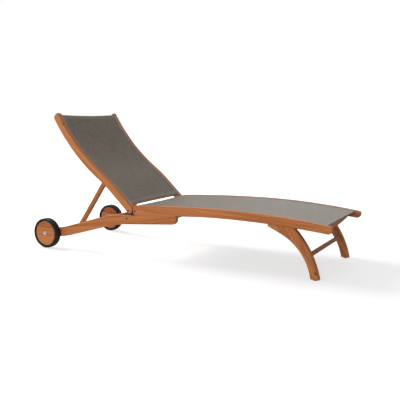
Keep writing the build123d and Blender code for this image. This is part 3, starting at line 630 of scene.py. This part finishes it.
def make_stitches(name, sling):
    """Capsules: a ring of points carried along each stitch, thin at both ends.

    The ring's radius goes with the root of 1 less the fourth power of the way from middle to end.
    """
    stations = np.linspace(-0.5, 0.5, station_count)[:, None]
    bulge = stitch_radius * np.sqrt(np.clip(1 - (2 * stations) ** 4, least_bulge, 1))
    ring = np.linspace(0, 2 * pi, ring_points, endpoint=False)
    centres = np.arange(stitch_inset - sling.half, sling.half - stitch_inset, stitch_pitch)
    low, high = sling.ends(centres)
    rows = [low + inset for inset in stitch_rows] + [high - inset for inset in stitch_rows]
    shape = (len(rows) * len(centres), len(stations), len(ring))
    across = np.tile(centres, len(rows))[:, None, None] + np.broadcast_to(stations * stitch_length, shape)
    along = np.concatenate(rows)[:, None, None] + np.broadcast_to(bulge * np.cos(ring), shape)
    depth = sling.hang(across) - cloth_thickness / 2 - np.broadcast_to(bulge * np.sin(ring), shape)
    points = sling.place(across, along, depth).reshape(-1, 3)
    index = np.arange(len(points)).reshape(shape)
    turned = np.roll(index, -1, axis=2)
    walls = np.stack([index[:, :-1], turned[:, :-1], turned[:, 1:], index[:, 1:]], -1).reshape(-1, 4)
    caps = np.concatenate([index[:, 0, ::-1], index[:, -1]])
    mesh = bpy.data.meshes.new(name)
    mesh.from_pydata(points.tolist(), [], walls.tolist() + caps.tolist())
    mesh.materials.append(thread)
    return new_piece(name, mesh)


# %% [markdown]
# The seat's cloth belongs to the frame, and the back's cloth has to turn with the backrest.

# %% Sew the slings and hang them on their bodies
for cloth, piece, flat, node, body, rails in (
    (seat_cloth, seat_sling, seat_flat, "seat_sling", "frame", sides("seat_track")),
    (back_cloth, back_sling, back_flat, "back_sling", "backrest", sides("back_track")),
):
    hems = [make_hem(f"{node}_hem_{end}", cloth, end == "far") for end in ("near", "far")]
    trims = hems + [make_stitches(f"{node}_stitches", cloth)]
    for one in [piece] + trims:
        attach(one, body)
    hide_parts(node)
    print(node, "has", len(piece.data.polygons), "faces, and", len(trims), "trims")

# %% [markdown]
# ## Floor, light and camera
# The lounger stands on a white floor with a soft shadow. A floor that is only lit would end in a grey line
# against the white surround, so this one also glows, most of all towards its edge. Only the camera and
# reflections see the glow, so it doesn't light the lounger from below. Seen from below the floor is clear,
# and the underside can be looked at. One soft lamp hangs beyond the head end, and one stands at each side.
# The camera stands beside the lounger, nearer its foot end, and looks down a little, as in the photograph.

# %% Floor
white = (1, 1, 1, 1)
floor_grey = (0.5, 0.5, 0.5, 1)
reach = 14.0
glow_start, glow_full, least_glow = 1.2, 3.5, 0.6


def seen_share(tree):
    """1 for rays that the camera, a mirror or a glass sees, and 0 for rays that only carry light."""
    path = add(tree, "ShaderNodeLightPath").outputs
    mirrored = math(tree, "MAXIMUM", path["Is Glossy Ray"], path["Is Transmission Ray"])
    return math(tree, "MAXIMUM", path["Is Camera Ray"], mirrored)


floor_mesh = bpy.data.meshes.new("floor")
corners = [(-reach, -reach, 0), (reach, -reach, 0), (reach, reach, 0), (-reach, reach, 0)]
floor_mesh.from_pydata(corners, [], [(0, 1, 2, 3)])
floor = new_piece("floor", floor_mesh)
paint = {"Base_Color": floor_grey, "Emission_Color": white, "Roughness": 0.9, "Specular_IOR_Level": 0.1}
floor_paint, tree, shader = new_finish("pale_floor", **paint)
place = add(tree, "ShaderNodeTexCoord").outputs["Object"]
away = add(tree, "ShaderNodeVectorMath", {0: place}, operation="LENGTH").outputs["Value"]
glow = math(tree, "MULTIPLY", seen_share(tree), remap(tree, away, glow_start, glow_full, least_glow, 1.0))
tree.links.new(glow, shader.inputs["Emission Strength"])
below = add(tree, "ShaderNodeNewGeometry").outputs["Backfacing"]
clear = add(tree, "ShaderNodeBsdfTransparent").outputs[0]
both = add(tree, "ShaderNodeMixShader", {0: below, 1: shader.outputs[0], 2: clear})
tree.links.new(both.outputs[0], tree.nodes["Material Output"].inputs["Surface"])
floor_mesh.materials.append(floor_paint)
print("floor", 2 * reach, "m wide")

# %% Surround
ambient = 0.28
world = bpy.data.worlds.new("white_surround")
bpy.context.scene.world = world
world.use_nodes = True
tree = world.node_tree
ground = tree.nodes["Background"]
ground.inputs["Color"].default_value = white
tree.links.new(remap(tree, seen_share(tree), 0.0, 1.0, ambient, 1.0), ground.inputs["Strength"])
print("surround lights the lounger with", ambient, "of the white that the camera sees")


# %% Lamps
def facing(direction):
    """Turn that points an object's -Z along a direction."""
    return Vector(direction).to_track_quat("-Z", "Y").to_euler()


def soft_lamp(name, place, aim, size, power):
    """A rectangular lamp that faces along the aim less its place."""
    lamp = bpy.data.lights.new(name, "AREA")
    lamp.shape = "RECTANGLE"
    lamp.size, lamp.size_y = size
    lamp.energy = power
    holder = new_piece(name, lamp)
    holder.location = place
    holder.rotation_euler = facing(np.array(aim, float) - np.array(place, float))
    print(name, "lamp of", power, "W")


middle = (0.05, 0.0, 0.3)
soft_lamp("head_end", (-3.2, 0.5, 2.8), middle, size=(2.2, 2.2), power=205)
soft_lamp("near_side", (0.7, -4.2, 1.2), middle, size=(4.0, 1.6), power=96)
soft_lamp("far_side", (0.4, 4.2, 1.4), middle, size=(4.0, 1.6), power=50)

# %% Camera
camera_data = bpy.data.cameras.new("photo_view")
camera_data.sensor_width = 36.0
camera_data.lens = 54.13
camera = new_piece("photo_view", camera_data)
azimuth, elevation, distance = radians(28.53), radians(7.85), 3.76188
target = np.array([0.05856, 0.0, 0.33384])
back_away = np.array([sin(azimuth) * cos(elevation), -cos(azimuth) * cos(elevation), sin(elevation)])
camera.location = target + back_away * distance
camera.rotation_euler = facing(-back_away)
bpy.context.scene.camera = camera
bpy.context.scene.view_settings.view_transform = "Standard"
print("camera at", [round(value, 3) for value in camera.location])
